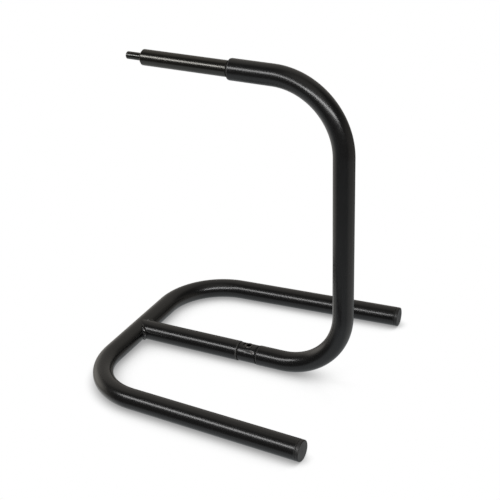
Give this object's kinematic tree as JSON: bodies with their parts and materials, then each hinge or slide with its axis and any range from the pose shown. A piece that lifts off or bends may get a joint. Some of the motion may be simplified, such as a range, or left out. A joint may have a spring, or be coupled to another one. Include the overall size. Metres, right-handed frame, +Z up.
{
  "type": "bicycle display stand",
  "caption": "Low floor stand of bent tube whose folding upright carries a horizontal rod that plugs into a bicycle's hollow crank spindle.",
  "frame": {"origin": "middle of the footprint, on the floor", "axes": "+X from the back bar along the stem to the open end of the base, +Z up, +Y to the left when looking along +X"},
  "size_m": [0.3182, 0.347, 0.3963],
  "materials": {
    "black_coat": "satin black powder coat",
    "collar_coat": "satin black, finer than the tubes",
    "cap_plastic": "satin moulded black",
    "black_screw": "black oxide",
    "spring_steel": "dark phosphated",
    "bush_bronze": "sintered bronze",
    "pad_brass": "turned",
    "washer_plastic": "moulded black",
    "turned_steel": "turned",
    "rod_steel": "satin black oxide",
    "pin_steel": "polished black oxide",
    "ring_rubber": "matte black"
  },
  "bodies": {
    "base": {"base_tube": "black_coat", "stem_tube": "black_coat", "stem_welds": "black_coat", "right_end_cap": "cap_plastic", "left_end_cap": "cap_plastic", "pivot_collar": "collar_coat", "collar_pin": "spring_steel", "rear_bush": "bush_bronze", "front_bush": "bush_bronze", "thrust_washer": "washer_plastic", "retaining_screws": "black_screw"},
    "lock_pad": {"lock_pad": "pad_brass"},
    "lock_screw": {"lock_screw": "black_screw"},
    "upright": {"upright_tube": "black_coat", "pivot_spigot": "turned_steel", "spigot_pin": "spring_steel", "arm_bush": "turned_steel", "rod_screw": "black_screw", "rod_ring": "ring_rubber", "spindle_rod": "rod_steel", "tip_pin": "pin_steel"}
  },
  "joints": [
    {"name": "upright_fold", "type": "hinge", "parent": "base", "child": "upright", "pos_m": [0.00105, 0, 0.0127], "axis": [1, 0, 0], "range_deg": [-80.7, 80.7]},
    {"name": "lock_pad_lift", "type": "slide", "parent": "base", "child": "lock_pad", "axis": [0, 0, 1], "range_m": [0, 0.00175]},
    {"name": "lock_screw_turn", "type": "hinge", "parent": "lock_pad", "child": "lock_screw", "pos_m": [0.01375, 0, 0.02215], "axis": [0, 0, 1], "range_deg": [0, 361]}
  ],
  "couplings": [
    {"joint": "lock_screw_turn", "follows": "lock_pad_lift", "rad_per_m": 3590.4}
  ]
}
